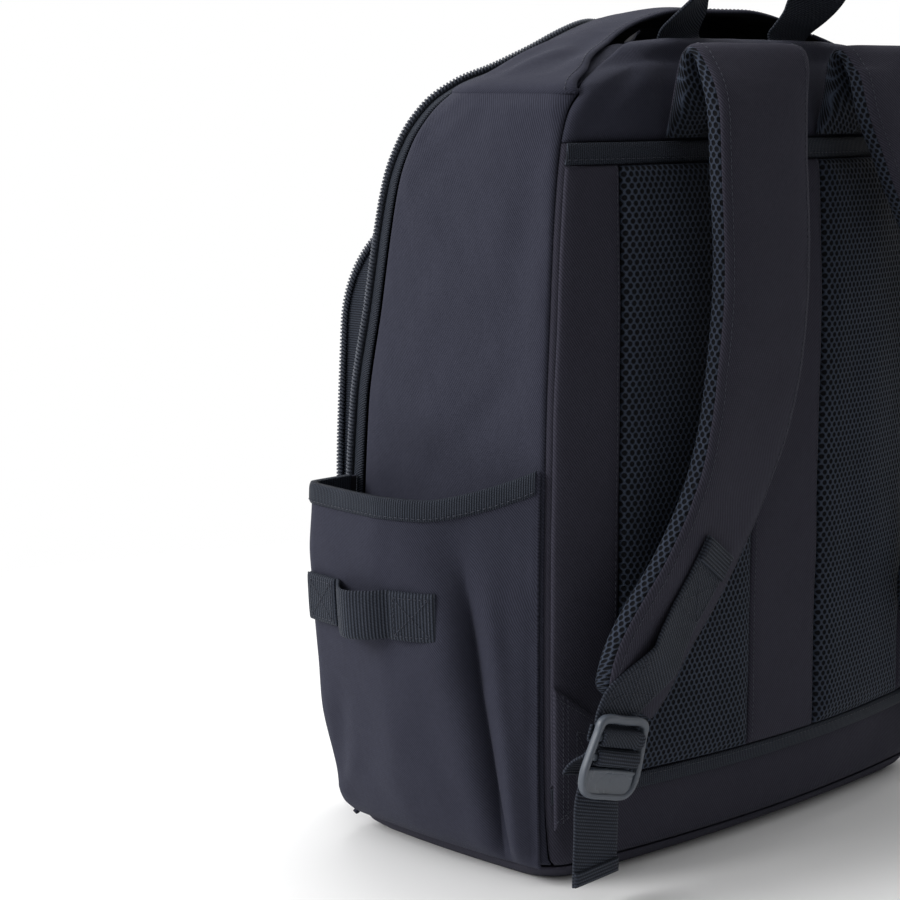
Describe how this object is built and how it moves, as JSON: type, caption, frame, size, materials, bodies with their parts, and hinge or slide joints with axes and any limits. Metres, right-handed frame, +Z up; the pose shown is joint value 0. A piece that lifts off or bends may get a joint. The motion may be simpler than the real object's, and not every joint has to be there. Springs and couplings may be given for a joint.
{
  "type": "tool backpack",
  "caption": "Upright tool backpack with a padded mesh back, shoulder straps with buckles, carry handle, zipped top, front pocket and open side pockets with a tool loop.",
  "frame": {"origin": "middle of the flat base, where the bag stands", "axes": "+Z up, +Y out of the padded back that carries the shoulder straps, +X towards the side pocket with the tool loop"},
  "size_m": [0.4042, 0.235, 0.4649],
  "materials": {
    "cloth": "matt charcoal twill with a faint navy tone",
    "mesh": "open spacer mesh, dark navy",
    "webbing": "ribbed woven tape, dark blue-green",
    "coil": "wound coil, grey-navy, half matt",
    "buckle": "dark slate, half matt with a soft shine"
  },
  "bodies": {
    "root": {"base_panel": "cloth", "back_panel": "cloth", "yoke": "cloth", "top_band": "cloth", "front_panel": "cloth", "main_zip_tape": "webbing", "main_zip_coil": "coil", "side_panel_right": "cloth", "side_panel_left": "cloth", "side_pocket_right": "cloth", "side_pocket_left": "cloth", "pocket_binding_right": "webbing", "pocket_binding_left": "webbing", "tool_loop": "webbing", "front_pocket": "cloth", "mesh_panel_right": "mesh", "mesh_panel_left": "mesh", "spine_strip": "cloth", "edge_strip_right": "cloth", "edge_strip_left": "cloth", "upper_tape": "webbing", "lower_tape": "webbing", "shoulder_strap_right": "cloth", "shoulder_strap_left": "cloth", "strap_lining_right": "mesh", "strap_lining_left": "mesh", "strap_webbing_right": "webbing", "strap_webbing_left": "webbing", "strap_buckle_right": "buckle", "strap_buckle_left": "buckle", "lower_webbing_right": "webbing", "lower_webbing_left": "webbing", "strap_wing_right": "cloth", "strap_wing_left": "cloth", "carry_handle": "webbing"}
  },
  "joints": []
}
